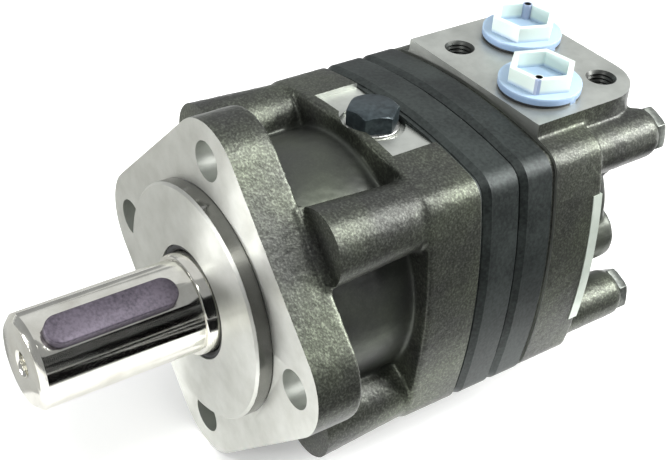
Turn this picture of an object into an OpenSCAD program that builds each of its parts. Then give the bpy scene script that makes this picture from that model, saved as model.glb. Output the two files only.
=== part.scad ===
/* [Flange and pilot] */
// Diameter of the centring pilot
pilot_d = 82.5; // [76:0.5:86]
// How far the pilot stands out of the mounting face
pilot_h = 6; // [5.5:0.5:8]
// Distance between two opposite flats of the square flange
flange_w = 106; // [102:1:112]
// Radius of the four flange corners
flange_corner_r = 21; // [17:1:24]
// Thickness of the flange
flange_t = 16.5; // [14:0.5:18]
// Diameter of the circle through the four fixing holes
bolt_circle_d = 106.4; // [104:0.2:108]
// Diameter of a fixing hole
bolt_hole_d = 13.5; // [11:0.5:14]

/* [Output shaft] */
// Diameter of the output shaft
shaft_d = 32; // [28:1:33]
// Distance from the mounting face to the shaft tip
shaft_out = 65.8; // [62:0.2:72]
// Bevel on the shaft tip
tip_bevel = 2; // [1:0.5:3]
// Diameter of the tapped hole in the shaft tip
tip_hole_d = 8; // [6:1:10]
// Depth of the tapped hole
tip_hole_depth = 20; // [14:1:24]
// Distance the thick journal stands out of the mounting face
journal_out = 9.5; // [8:0.5:12]
// Width of the key
key_w = 10; // [8:1:12]
// Height of the key
key_h = 8; // [7:0.5:9]
// Length of the key
key_l = 45; // [38:1:46]
// Depth of the keyway in the shaft
keyway_depth = 5; // [4:0.5:5.5]
// Distance from the shaft tip to the key
key_setback = 5; // [4:0.5:8]
// Angle of the key round the shaft, up from the right
key_angle = 61.5; // [0:0.5:180]

/* [Body] */
// Distance from the mounting face to the back of the front housing
housing_len = 73.5; // [73:0.5:78]
// Width of the plates across their bulged sides
plate_w = 102.4; // [101:0.2:106]
// Radius of the bulged plate sides
plate_side_r = 200; // [170:5:300]
// Radius of the plate corners
plate_corner_r = 9; // [7:0.5:11]
// Half the distance between two neighbouring body screws
screw_half_pitch = 36; // [36:0.25:37]
// Diameter of the round barrel behind the flange
barrel_d = 89; // [87:1:94]
// Radius of the four corner ridges where they start behind the flange
ridge_r = 13.4; // [11:0.2:14]
// Radius of the corner ridges at the first seam
ridge_rear_r = 10.4; // [9:0.2:11]
// Length of the full square block at the back of the front housing
block_len = 21.2; // [18:0.2:24]
// Inset of the step in front of each plate
seam_inset = 1.5; // [1:0.1:2]
// Width of the step in front of each plate
seam_band = 1.6; // [1:0.1:2.5]
// Length of the bevel behind that step
plate_bevel = 2.6; // [1.5:0.1:3.5]
// Width of the step on either side of the last seam
last_step = 1.2; // [0.8:0.1:2]

/* [Drain] */
// Distance from the drain plug to the first seam
drain_from_seam = 9.7; // [9.5:0.1:11]
// Height of the machined drain pad above the shaft axis
pad_z = 48; // [47:0.25:49]
// Width of the machined drain pad
pad_w = 44.6; // [36:0.2:50]
// Width of the front rim left standing before the pad
pad_rim = 3.3; // [2:0.1:4]
// Distance across the flats of the drain plug head
drain_af = 16; // [14:1:17]
// Height of the drain plug head
drain_head_h = 6.4; // [5:0.2:8]
// Diameter of the drain plug thread
drain_thread_d = 13.1; // [11:0.1:14]
// Thickness of the drain plug washer
drain_washer_t = 1.5; // [1:0.1:2]

/* [Bearings and seals] */
// Bore of the front bearing
front_bearing_bore = 35; // [34.5:0.5:36]
// Outside diameter of the front bearing
front_bearing_od = 62; // [61:0.5:63]
// Width of the front bearing
front_bearing_w = 17; // [16.5:0.5:18]
// Bore of the rear bearing
rear_bearing_bore = 50; // [49:0.5:51]
// Outside diameter of the rear bearing
rear_bearing_od = 80; // [79:0.5:81]
// Width of the rear bearing
rear_bearing_w = 19; // [18.5:0.5:19.5]
// Distance from the mounting face to the front bearing
front_bearing_y = 10; // [10:0.5:11]
// Number of rollers in the front bearing
front_rollers = 14; // [10:1:15]
// Number of rollers in the rear bearing
rear_rollers = 18; // [12:1:19]
// Slope of the bearing rollers to the shaft
roller_slope = 12; // [10:0.5:13]
// Outside diameter of the shaft seal
seal_od = 52; // [50:1:54]
// Width of the shaft seal
seal_w = 8; // [7:0.5:8.5]
// Diameter of the dust seal recess
dust_seal_d = 40; // [39:0.5:44]
// Depth of the dust seal recess
dust_seal_depth = 4; // [3:0.25:4.5]
// Thickness of the wear plate
wear_t = 3.5; // [3:0.1:4]

/* [Gear set] */
// Width of the gear ring
gear_w = 15.5; // [15:0.5:30]
// Radius of the circle through the ring roller centres
roller_circle_r = 34; // [33.8:0.05:34.2]
// Radius of a ring roller
ring_roller_r = 7.2; // [7:0.05:7.3]
// Distance from the rotor centre to the shaft axis
rotor_offset = 3; // [2.8:0.05:3.1]
// Running clearance between rotor and rollers
mesh_gap = 0.05; // [0.04:0.01:0.08]
// Clearance at each end face of the rotor
face_gap = 0.04; // [0.02:0.01:0.08]
// Number of spline teeth
spline_teeth = 12; // [10:1:12]
// Radius of the spline grooves in rotor, shaft and valve
spline_r = 14.2; // [13.8:0.1:14.4]
// Depth of the spline grooves
spline_depth = 2.2; // [2:0.1:2.4]
// Radial clearance of the crowned spline heads
spline_gap = 0.35; // [0.3:0.05:0.5]

/* [Valve] */
// Thickness of the channel plate
channel_t = 16; // [15:0.5:18]
// Diameter of the disc valve
disc_d = 58; // [56:1:60]
// Thickness of the disc valve
disc_t = 10; // [9:0.5:11]
// Diameter of the balance plate
balance_d = 56.8; // [55:0.2:57]
// Thickness of the balance plate
balance_t = 6.5; // [6:0.5:7]
// Radius of the circle of valve ports
port_ring_r = 24.5; // [23.5:0.25:25]
// Radius of a valve port
valve_port_r = 2.5; // [2:0.1:2.8]

/* [Rear housing] */
// Distance from the last seam to the ends of the screw bosses
rear_len = 52.4; // [50:0.2:60]
// Thickness of the rear housing plate
rear_plate_t = 21.4; // [19:0.2:24]
// Radius of the rear screw bosses
boss_r = 9.2; // [8.6:0.1:11]
// Height of the port face above the shaft axis
port_face_z = 53; // [52:0.5:56]
// Width of the port block
port_block_w = 70; // [66:1:74]
// Length of the port block
port_block_l = 53; // [52:1:56]
// Radius of the two rear corners of the port block
port_corner_r = 18; // [12:1:20]
// Distance between the two port centres, across the shaft
port_across = 32; // [30:0.5:34]
// Distance between the two port centres, along the shaft
port_along = 20; // [18:0.5:22]
// Distance from the last seam to the middle of the port pattern
port_middle = 28; // [26:0.5:30]
// Diameter of the two ports
port_d = 20.4; // [18:0.2:21]
// Depth of the two ports
port_depth = 17; // [15:0.5:18]
// Diameter of the two manifold holes
manifold_d = 10; // [8:0.5:10]
// Depth of the two manifold holes
manifold_depth = 15; // [12:1:16]
// Distance between the two manifold holes, across the shaft
manifold_across = 42; // [40:0.5:46]
// Distance between the two manifold holes, along the shaft
manifold_along = 30; // [28:0.5:32]
// Radius of the valve body behind the rear plate
rear_body_r = 33; // [32:0.5:34]
// Distance of each check valve boss to the side of the shaft axis
check_x = 25.5; // [23:0.5:26]
// Height of the check valve bosses above the shaft axis
check_z = -11; // [-16:0.5:-8]
// Radius of the check valve bosses
check_boss_r = 11.5; // [10:0.5:12]

/* [Caps] */
// Diameter of the cap flange
cap_flange_d = 29; // [26:0.5:30]
// Thickness of the cap flange
cap_flange_t = 2.5; // [2:0.1:3]
// Thickness of the rubber ring under the cap flange
cap_ring_t = 1.1; // [0.8:0.1:1.5]
// Distance across the flats of the cap hexagon
cap_af = 21; // [18:0.5:22]
// Height of the cap hexagon above its flange
cap_hex_h = 5.7; // [4:0.1:8]
// Wall of the hollow cap
cap_wall = 1.8; // [1.4:0.1:2.4]
// Length of the cap plug inside the port
cap_plug_l = 10; // [7:0.5:12]
// Radius of the vent hole in one corner of each cap
vent_r = 1.1; // [0.8:0.1:1.3]
// Width of the tear-off tab at the rim of each cap
tab_w = 3; // [2:0.5:4]

/* [Screws] */
// Diameter of the four body screws
screw_d = 10; // [9:0.5:10]
// Distance across the flats of the screw heads
screw_af = 15; // [14:0.5:16]
// Height of the screw heads
screw_head_h = 4.2; // [4:0.1:7]
// Length of thread in the front housing
screw_grip = 19; // [15:0.5:20]

/* [Hidden] */
$fn = 96;

// Colours of the real finishes
cast_iron = [0.35, 0.36, 0.34];
turned_steel = [0.74, 0.74, 0.72];
dark_steel = [0.24, 0.26, 0.25];
bearing_steel = [0.70, 0.72, 0.74];
key_steel = [0.30, 0.28, 0.31];
seal_rubber = [0.08, 0.08, 0.09];
bronze = [0.66, 0.52, 0.30];
cap_plastic = [0.90, 0.94, 0.93];
plug_black = [0.14, 0.15, 0.17];

// Seams between the pieces, measured back from the mounting face
seam_1 = housing_len;
seam_2 = seam_1 + gear_w;
seam_3 = seam_2 + channel_t;
rear_end = seam_3 + rear_len;
ridge_y = flange_t + 1.2;

// Steps along each bulged side: an odd number leaves a flat in the middle to stand on
side_steps = 7;

// Bore, outside diameter and width of each bearing
front_bearing = [front_bearing_bore, front_bearing_od, front_bearing_w];
rear_bearing = [rear_bearing_bore, rear_bearing_od, rear_bearing_w];

// Shaft and bearing places
shaft_r = shaft_d / 2;
journal_r = front_bearing[0] / 2;
rear_journal_r = rear_bearing[0] / 2;
rear_bearing_y = seam_1 - wear_t - rear_bearing[2];
cavity_r = 34;
shaft_end = seam_1 - wear_t - 0.5;
shoulder_r = 22;
drum_r = 28;
running_gap = 0.03;
seat_gap = 0.02;

// Roller sizes of both bearings
front_roller = [3.1, front_bearing[2] - 6.5];
rear_roller = [3.4, rear_bearing[2] - 7];
rib_w = 2.6;
rib_h = 2;
lip_h = 1;
cage_half = 0.9;

// Gear set and splines: one ring roller more than the rotor has lobes
ring_roller_count = 7;
rotor_lobes = ring_roller_count - 1;
ring_bore_r = roller_circle_r + 2 * rotor_offset - ring_roller_r + 0.4;
pocket_gap = 0.04;
points_per_lobe = 36;
point_crowding = 0.5;
male_r = spline_r - spline_gap;
spline_bore_r = spline_r - spline_depth;
wear_bore_r = spline_r + 1.8;
channel_bore_r = spline_r + rotor_offset + 0.2;
swing_bore_r = spline_r + 4.8;

// Swinging shafts: front head, rear head, half length of each head
cardan_front_y = rear_bearing_y - 7;
cardan_rear_y = seam_1 + 4.1;
cardan_head = 3.2;
head_bevel = 1.5;
cardan_r = 9;
cardan_len = norm([rotor_offset, cardan_rear_y - cardan_front_y]);
cardan_tilt = atan(rotor_offset / (cardan_rear_y - cardan_front_y));
drive_front_y = seam_2 - 2.8;
drive_rear_y = seam_3 + disc_t / 2;
drive_head = 1.8;
drive_r = 7.5;
drive_len = norm([rotor_offset, drive_rear_y - drive_front_y]);
drive_tilt = atan(rotor_offset / (drive_rear_y - drive_front_y));
spline_floor_y = cardan_front_y - cardan_head - 1.5;
spacer_r = 5;
spacer_y = cardan_rear_y + cardan_head + 0.8;
spacer_t = drive_front_y - drive_head - 1 - spacer_y;

// Valve chamber
disc_chamber_r = disc_d / 2 + 2;
balance_bore_r = balance_d / 2 + 0.08;
disc_y = seam_3 + face_gap;
balance_y = disc_y + disc_t + face_gap;
spring_h = 3;
chamber_floor = balance_y + balance_t + spring_h;
balance_ring_r = 0.95;
balance_groove_z = balance_t / 5;
balance_middle_r = balance_d / 7;
balance_hole_circle_r = balance_d * 0.28;
pin_r = 1.5;
pin_l = 9;
pin_seat = balance_t * 0.42;
pin_circle_r = balance_bore_r - 2.2;
disc_spring_t = 1.4;
disc_spring_inner_r = balance_d * 0.23;
disc_spring_outer_r = balance_d * 0.39;

// Seals between the plates
o_ring_r = 43.2;
o_ring_section = 0.95;
groove_w = 2 * o_ring_section + 0.1;
groove_depth = 2 * o_ring_section + 0.02;

// Drain plug and its spot face
drain_y = seam_1 - drain_from_seam;
drain_thread_r = drain_thread_d / 2;
drain_washer_r = drain_af / 2 / cos(30) + 0.1;
spot_r = drain_washer_r + 2;
spot_z = pad_z - 1.2;
drain_hole_z = rear_bearing[1] / 2 + 1.5;
slot_w = 5;
drain_turn = 8;

// Port pattern, caps and check valves
port_middle_y = seam_3 + port_middle;
port_front = [port_across / 2, port_middle_y - port_along / 2];
port_rear = [-port_across / 2, port_middle_y + port_along / 2];
port_block_y = seam_3 + last_step;
cap_thread_r = port_d / 2 - 0.15;
cap_turn = 11;
vent_wall = 0.5;
vent_front = -60;
vent_rear = 120;
tab_turn = 12;
tab_depth = 1.8;
passage_r = 4;
check_ball_r = 4;
check_seat_r = 3;
check_bore_r = 6;
check_seat_l = 3;
check_seat_y = chamber_floor + check_seat_l;
check_ball_y = check_seat_y + sqrt(pow(check_ball_r, 2) - pow(check_seat_r, 2)) + seat_gap;
check_lift = 0.8;
check_plug_l = 8;
check_boss_end = rear_end - 2.4;
check_plug_y = check_boss_end - 3 - check_plug_l;
check_spring_r = 3.2;
check_wire_r = 0.5;
check_spring_y = check_ball_y + check_ball_r + check_lift + 0.6;
check_spring_l = check_plug_y - check_spring_y - 0.1;
body_end = rear_end - 5.4;

// Body screws
screw_r = screw_d / 2 - 0.1;
screw_hole_r = screw_d / 2 + 0.5;
screw_len = rear_end - (seam_1 - screw_grip);
screw_turn = 22;

// Turns an upright shape so that its height runs back along the shaft
module axial(y = 0) {
    translate([0, y, 0]) rotate([-90, 0, 0]) children();
}

// Points of an arc, from one angle to another
function arc(c, r, from, to, steps) =
    [for (i = [0:steps]) c + r * [cos(from + (to - from) * i / steps), sin(from + (to - from) * i / steps)]];

// A square outline with round corners
function round_square(half, r, steps = 8) =
    let (corner = (half - r) * sqrt(2))
    [for (k = [0:3])
        each arc(corner * [cos(45 + 90 * k), sin(45 + 90 * k)], r, 90 * k, 90 * k + 90, steps)];

// The plate outline: bulged sides that run smoothly into round corners
function plate_outline(inset = 0) =
    let (
        half = plate_w / 2 - inset,
        corner_r = plate_corner_r - inset * 0.6,
        back = plate_side_r - half,
        reach = plate_side_r - corner_r,
        c = (sqrt(2 * reach * reach - back * back) - back) / 2,
        lean = atan(c / (c + back)))
    [for (k = [0:3])
        each concat(
            arc(-back * [cos(90 * k), sin(90 * k)], plate_side_r, 90 * k - lean, 90 * k + lean, side_steps),
            arc(c * sqrt(2) * [cos(45 + 90 * k), sin(45 + 90 * k)], corner_r,
                90 * k + lean + 7, 90 * k + 83 - lean, 7))];

// A plate with a step and a bevel in front of its full outline
module plate(t, rear_step = 0) {
    full_y = seam_band + plate_bevel;
    bevel_inset = seam_inset - 0.4;
    linear_extrude(t) polygon(plate_outline(seam_inset));
    translate([0, 0, full_y]) {
        linear_extrude(t - full_y - rear_step) polygon(plate_outline());
        mirror([0, 0, 1]) linear_extrude(plate_bevel, scale = 1 - 2 * bevel_inset / plate_w)
            polygon(plate_outline());
    }
}

// Places a child at each of the four body screws
module at_screws() {
    for (x = [-1, 1], y = [-1, 1]) translate([x, y, 0] * screw_half_pitch) children();
}

module screw_holes(t) {
    at_screws() translate([0, 0, -1]) cylinder(r = screw_hole_r, h = t + 2);
}

// Groove and ring of a face seal
module face_groove() {
    difference() {
        cylinder(r = o_ring_r + groove_w / 2, h = groove_depth);
        translate([0, 0, -1]) cylinder(r = o_ring_r - groove_w / 2, h = groove_depth + 2);
    }
}

module face_ring(y) {
    color(seal_rubber)
        axial(y) rotate_extrude() translate([o_ring_r, 0]) circle(r = o_ring_section, $fn = 32);
}

// A straight drilling between two points
module drilling(a, b, r) {
    d = b - a;
    translate(a) rotate([0, acos(d[2] / norm(d)), atan2(d[1], d[0])]) cylinder(r = r, h = norm(d));
}

// Spline tooth outline: tip and root radius with the half angle of the tooth at each
module spline_2d(tip, root, tip_half, root_half) {
    pitch = 360 / spline_teeth;
    polygon([for (i = [0:spline_teeth - 1])
        each [
            root * [cos(i * pitch - root_half), sin(i * pitch - root_half)],
            tip * [cos(i * pitch - tip_half), sin(i * pitch - tip_half)],
            tip * [cos(i * pitch + tip_half), sin(i * pitch + tip_half)],
            root * [cos(i * pitch + root_half), sin(i * pitch + root_half)]]]);
}

module spline_bore(h) {
    translate([0, 0, -1]) {
        linear_extrude(h + 2) spline_2d(spline_r, spline_bore_r, 6.4, 9.4);
        cylinder(r = spline_bore_r, h = h + 2);
    }
}

// A crowned head that can swing in a spline bore
module spline_head(half) {
    intersection() {
        translate([0, 0, -half]) linear_extrude(2 * half)
            spline_2d(male_r, spline_bore_r - 0.65, 3.9, 6.8);
        sphere(r = male_r);
        rotate_extrude() polygon([[0, -half], [male_r - 2.6, -half], [male_r, head_bevel - half],
            [male_r, half - head_bevel], [male_r - 2.6, half], [0, half]]);
    }
}

// Housing pieces
module flange() {
    rotate([0, 0, 45]) linear_extrude(flange_t)
        polygon(round_square(flange_w / 2, flange_corner_r));
}

module pilot() {
    bevel = 0.8;
    rotate_extrude() polygon([[0, -pilot_h], [pilot_d / 2 - bevel, -pilot_h],
        [pilot_d / 2, bevel - pilot_h], [pilot_d / 2, 1], [0, 1]]);
}

module fixing_holes() {
    for (a = [0:90:270]) rotate([0, 0, a]) translate([bolt_circle_d / 2, 0, -1])
        cylinder(d = bolt_hole_d, h = flange_t + 2);
}

// The stepped bore that holds seals and bearings
module housing_bore() {
    wall_y = front_bearing_y - seal_w - 1;
    translate([0, 0, -pilot_h - 1]) cylinder(r = journal_r + 1, h = pilot_h + wall_y + 2);
    translate([0, 0, -pilot_h - 1]) cylinder(r = dust_seal_d / 2, h = dust_seal_depth + 1);
    translate([0, 0, wall_y]) cylinder(r = seal_od / 2, h = seal_w + 2);
    translate([0, 0, front_bearing_y]) cylinder(r = front_bearing[1] / 2, h = front_bearing[2] + 1);
    translate([0, 0, front_bearing_y + front_bearing[2]])
        cylinder(r = cavity_r, h = rear_bearing_y - front_bearing_y - front_bearing[2] + 1);
    translate([0, 0, rear_bearing_y]) cylinder(r = rear_bearing[1] / 2, h = seam_1 - rear_bearing_y + 1);
}

module drain_cuts() {
    pad_y = seam_1 - block_len + pad_rim;
    translate([-pad_w / 2, pad_y, pad_z]) cube([pad_w, seam_1 - pad_y + 1, 10]);
    translate([0, drain_y, spot_z]) cylinder(r = spot_r, h = 10);
    translate([0, drain_y, drain_hole_z]) cylinder(r = drain_thread_r + 0.05, h = 20);
    translate([-slot_w / 2, rear_bearing_y - 6, cavity_r - 6])
        cube([slot_w, drain_y - rear_bearing_y + 6, drain_hole_z - cavity_r + 7]);
}

module front_housing() {
    color(cast_iron) difference() {
        union() {
            axial() flange();
            axial() pilot();
            axial(flange_t - 1) cylinder(d = barrel_d, h = housing_len - flange_t - 5);
            axial(ridge_y) at_screws() cylinder(r1 = ridge_r, r2 = ridge_rear_r, h = seam_1 - ridge_y - 1);
            axial(seam_1 - block_len) linear_extrude(block_len) polygon(plate_outline());
        }
        axial() housing_bore();
        axial() fixing_holes();
        axial(seam_1 - screw_grip - 3) at_screws() cylinder(d = screw_d, h = screw_grip + 4);
        axial(seam_1 - groove_depth) face_groove();
        drain_cuts();
    }
}

module dust_seal() {
    lip = 0.4;
    color(seal_rubber) axial(-pilot_h + 0.6) rotate_extrude() polygon([
        [journal_r + lip, 0.8], [journal_r + 1.2, 0], [dust_seal_d / 2 - seat_gap, 0],
        [dust_seal_d / 2 - seat_gap, dust_seal_depth - 0.65], [journal_r + 1.3, dust_seal_depth - 0.65],
        [journal_r + lip, 1.6]]);
}

module shaft_seal() {
    color(seal_rubber) axial(front_bearing_y - seal_w - 1 + seat_gap) rotate_extrude() polygon([
        [journal_r + 0.06, 3.2], [journal_r + 2, 0.6], [journal_r + 3, 0], [seal_od / 2 - seat_gap, 0],
        [seal_od / 2 - seat_gap, seal_w], [seal_od / 2 - 2, seal_w], [seal_od / 2 - 2, 2],
        [journal_r + 4, 2], [journal_r + 2.2, 5], [journal_r + 0.06, 3.8]]);
}

// Output shaft group
module shaft_blank() {
    rotate_extrude() polygon([
        [0, -shaft_out], [shaft_r - tip_bevel, -shaft_out], [shaft_r, tip_bevel - shaft_out],
        [shaft_r, -journal_out], [journal_r - 0.4, -journal_out], [journal_r, 0.6 - journal_out],
        [journal_r, front_bearing_y + front_bearing[2]], [shoulder_r, front_bearing_y + front_bearing[2]],
        [shoulder_r, front_bearing_y + front_bearing[2] + 2],
        [drum_r, front_bearing_y + front_bearing[2] + 6],
        [drum_r, rear_bearing_y], [rear_journal_r, rear_bearing_y],
        [rear_journal_r, shaft_end - 1], [rear_journal_r - 1, shaft_end], [0, shaft_end]]);
}

// Key shape with round ends, lying along the shaft
module key_shape(extra, h) {
    r = key_w / 2 + extra;
    for (y = [-1, 1]) translate([0, y * (key_l - key_w) / 2, 0]) cylinder(r = r, h = h);
    translate([-r, -(key_l - key_w) / 2, 0]) cube([2 * r, key_l - key_w, h]);
}

module at_key() {
    rotate([0, 90 - key_angle, 0])
        translate([0, key_setback + key_l / 2 - shaft_out, shaft_r - keyway_depth]) children();
}

module output_shaft() {
    color(turned_steel) difference() {
        axial() shaft_blank();
        at_key() key_shape(seat_gap, 20);
        axial(-shaft_out - 1) cylinder(d = tip_hole_d, h = tip_hole_depth + 1);
        axial(-shaft_out - 1) cylinder(r1 = tip_hole_d / 2 + 1.8, r2 = tip_hole_d / 2, h = 1.8);
        axial(spline_floor_y) spline_bore(cardan_front_y + cardan_head + 2 - spline_floor_y);
        axial(cardan_front_y + cardan_head + 2) cylinder(r = swing_bore_r, h = 60);
    }
}

module shaft_key() {
    color(key_steel) at_key() translate([0, 0, seat_gap]) key_shape(0, key_h);
}

// Taper roller bearings, drawn from the small end of the rollers
function pitch_r(b) = (b[0] + b[1]) / 4;
function apex(b) = b[2] / 2 - pitch_r(b) / tan(roller_slope);
function half_cone(b, roller) = atan(roller[0] * sin(roller_slope) / pitch_r(b));
function race_r(b, s, angle) = (s - apex(b)) * tan(angle);

module bearing_cup(b, roller) {
    slope = roller_slope + half_cone(b, roller);
    color(bearing_steel) rotate_extrude() polygon([
        [race_r(b, 0.4, slope), seat_gap], [b[1] / 2 - seat_gap, seat_gap],
        [b[1] / 2 - seat_gap, b[2] - 1], [race_r(b, b[2] - 1, slope), b[2] - 1],
        [race_r(b, 0.4, slope), 0.4]]);
}

module bearing_cone(b, roller) {
    slope = roller_slope - half_cone(b, roller);
    big = b[2] - rib_w;
    color(bearing_steel) rotate_extrude() polygon([
        [b[0] / 2 + seat_gap, 0.6], [race_r(b, 2.4, slope) + lip_h, 0.6],
        [race_r(b, 2.4, slope) + lip_h, 2.4], [race_r(b, 2.4, slope), 2.4],
        [race_r(b, big, slope), big], [race_r(b, big, slope) + rib_h, big],
        [race_r(b, big, slope) + rib_h, b[2] - seat_gap], [b[0] / 2 + seat_gap, b[2] - seat_gap]]);
}

// The tapered rollers, or with a negative gap the pockets that hold them
module taper_rollers(b, roller, count, gap) {
    half = half_cone(b, roller);
    near = pitch_r(b) / sin(roller_slope) - roller[1] / 2 + gap;
    far = near + roller[1] - 2 * gap;
    for (i = [0:count - 1]) rotate([0, 0, i * 360 / count])
        translate([0, 0, apex(b)]) rotate([0, roller_slope, 0]) translate([0, 0, near])
            cylinder(r1 = near * tan(half) - gap, r2 = far * tan(half) - gap, h = far - near);
}

module bearing_cage(b, roller, count) {
    s1 = 0.9;
    s2 = b[2] - 0.8;
    mid_1 = race_r(b, s1, roller_slope);
    mid_2 = race_r(b, s2, roller_slope);
    color(bronze) difference() {
        rotate_extrude() polygon([[mid_1 - cage_half, s1], [mid_1 + cage_half, s1],
            [mid_2 + cage_half, s2], [mid_2 - cage_half, s2]]);
        taper_rollers(b, roller, count, -0.12);
    }
}

module rear_bearing_place() {
    axial(rear_bearing_y + rear_bearing[2]) mirror([0, 0, 1]) children();
}

module front_bearing_cup() {
    axial(front_bearing_y) bearing_cup(front_bearing, front_roller);
}

module front_bearing_cone() {
    axial(front_bearing_y) bearing_cone(front_bearing, front_roller);
}

module front_bearing_rollers() {
    color(bearing_steel) axial(front_bearing_y)
        taper_rollers(front_bearing, front_roller, front_rollers, running_gap);
}

module front_bearing_cage() {
    axial(front_bearing_y) bearing_cage(front_bearing, front_roller, front_rollers);
}

module rear_bearing_cup() {
    rear_bearing_place() bearing_cup(rear_bearing, rear_roller);
}

module rear_bearing_cone() {
    rear_bearing_place() bearing_cone(rear_bearing, rear_roller);
}

module rear_bearing_rollers() {
    color(bearing_steel) rear_bearing_place()
        taper_rollers(rear_bearing, rear_roller, rear_rollers, running_gap);
}

module rear_bearing_cage() {
    rear_bearing_place() bearing_cage(rear_bearing, rear_roller, rear_rollers);
}

module wear_plate() {
    color(dark_steel) axial(seam_1 - wear_t + seat_gap) difference() {
        cylinder(r = rear_bearing[1] / 2 - seat_gap, h = wear_t - seat_gap);
        translate([0, 0, -1]) cylinder(r = wear_bore_r, h = wear_t + 2);
    }
}

// Swinging shafts between the output shaft, the rotor and the valve
module cardan_shaft() {
    color(turned_steel) axial(cardan_front_y) rotate([0, cardan_tilt, 0]) {
        spline_head(cardan_head);
        translate([0, 0, cardan_len]) spline_head(cardan_head);
        cylinder(r = cardan_r, h = cardan_len);
        translate([0, 0, -cardan_head - 2]) cylinder(r1 = cardan_r - 3, r2 = cardan_r, h = 3);
    }
}

module valve_drive() {
    color(turned_steel) translate([rotor_offset, 0, 0]) axial(drive_front_y) rotate([0, -drive_tilt, 0]) {
        spline_head(drive_head);
        translate([0, 0, drive_len]) spline_head(drive_head + 0.6);
        cylinder(r = drive_r, h = drive_len);
    }
}

module drive_spacer() {
    color(turned_steel) translate([rotor_offset, 0, 0])
        axial(spacer_y) difference() {
            cylinder(r = spacer_r, h = spacer_t);
            translate([0, 0, -1]) cylinder(r = 2, h = spacer_t + 2);
        }
}

// Gear set. A ring roller centre, seen from the rotor, runs on this six-lobed curve
function roller_path(t) = roller_circle_r * [cos(t), sin(t)]
    - rotor_offset * [cos(ring_roller_count * t), sin(ring_roller_count * t)];
function roller_heading(t) = roller_circle_r * [-sin(t), cos(t)]
    - ring_roller_count * rotor_offset * [-sin(ring_roller_count * t), cos(ring_roller_count * t)];

// The rotor flank lies one roller radius inside that curve
function rotor_point(t) =
    let (h = roller_heading(t))
    roller_path(t) - (ring_roller_r + mesh_gap) * [h[1], -h[0]] / norm(h);

// Points lie closer together in the hollows, where the flank bends most
function rotor_outline() =
    let (count = rotor_lobes * points_per_lobe)
    [for (i = [0:count - 1])
        let (s = i * 360 / count)
        rotor_point(s - point_crowding / rotor_lobes * sin(rotor_lobes * s) * 180 / PI)];

module gear_ring() {
    color(dark_steel) axial(seam_1) difference() {
        plate(gear_w);
        translate([0, 0, -1]) cylinder(r = ring_bore_r, h = gear_w + 2);
        for (i = [0:ring_roller_count - 1]) rotate([0, 0, i * 360 / ring_roller_count])
            translate([roller_circle_r, 0, -1]) cylinder(r = ring_roller_r + pocket_gap, h = gear_w + 2);
        screw_holes(gear_w);
    }
}

module gear_rotor() {
    color(bearing_steel) translate([rotor_offset, 0, 0]) axial(seam_1 + face_gap) difference() {
        linear_extrude(gear_w - 2 * face_gap) polygon(rotor_outline());
        spline_bore(gear_w);
    }
}

module ring_roller(i) {
    bevel = 0.6;
    h = gear_w - 2 * face_gap;
    color(bearing_steel) axial(seam_1 + face_gap) rotate([0, 0, (i - 1) * 360 / ring_roller_count])
        translate([roller_circle_r, 0, 0]) {
            cylinder(r1 = ring_roller_r - bevel, r2 = ring_roller_r, h = bevel);
            translate([0, 0, bevel]) cylinder(r = ring_roller_r, h = h - 2 * bevel);
            translate([0, 0, h - bevel]) cylinder(r1 = ring_roller_r, r2 = ring_roller_r - bevel, h = bevel);
        }
}

// Channel plate: seven channels step inwards from the gear chambers to the valve
module channel_plate() {
    color(dark_steel) axial(seam_2) difference() {
        plate(channel_t, last_step);
        translate([0, 0, -1]) cylinder(r = channel_bore_r, h = channel_t + 2);
        for (i = [0:ring_roller_count - 1]) rotate([0, 0, (i + 0.5) * 360 / ring_roller_count]) {
            translate([port_ring_r + 4, 0, -1]) cylinder(r = valve_port_r + 0.6, h = channel_t / 2 + 2);
            translate([port_ring_r, 0, channel_t / 2 - 1]) cylinder(r = valve_port_r + 0.4, h = channel_t);
        }
        screw_holes(channel_t);
        face_groove();
    }
}

// Disc valve: ports lead by turns to the middle and to the rim
module disc_valve() {
    color(bearing_steel) axial(disc_y) difference() {
        cylinder(d = disc_d, h = disc_t);
        spline_bore(disc_t);
        for (i = [0:2 * rotor_lobes - 1]) rotate([0, 0, i * 180 / rotor_lobes]) {
            deep = i % 2 == 0;
            port_l = deep ? disc_t + 2 : disc_t / 2 + 1;
            translate([port_ring_r, 0, -1]) cylinder(r = valve_port_r, h = port_l);
            if (!deep) translate([port_ring_r, -valve_port_r, -1])
                cube([disc_d, 2 * valve_port_r, disc_t / 2 + 1]);
        }
    }
}

module balance_groove(r, h) {
    difference() {
        cylinder(r = balance_d / 2 + 2, h = h);
        translate([0, 0, -1]) cylinder(r = r, h = h + 2);
    }
}

module at_pins() {
    for (x = [-1, 1]) translate([x * pin_circle_r, 0, 0]) children();
}

module balance_plate() {
    groove_r = balance_d / 2 - 2 * balance_ring_r + 0.04;
    color(bearing_steel) axial(balance_y) difference() {
        cylinder(d = balance_d, h = balance_t);
        translate([0, 0, -1]) cylinder(r = balance_middle_r, h = balance_t + 2);
        translate([0, 0, balance_groove_z]) balance_groove(groove_r, 2 * balance_ring_r + 0.06);
        at_pins() translate([0, 0, balance_t - pin_seat - 0.2]) cylinder(r = pin_r + 0.05, h = balance_t);
        for (a = [30:60:330]) rotate([0, 0, a]) translate([balance_hole_circle_r, 0, -1])
            cylinder(r = valve_port_r, h = balance_t + 2);
    }
}

module balance_o_ring() {
    color(seal_rubber) axial(balance_y + balance_groove_z + 0.03 + balance_ring_r) rotate_extrude()
        translate([balance_bore_r - balance_ring_r - 0.02, 0]) circle(r = balance_ring_r, $fn = 32);
}

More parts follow.
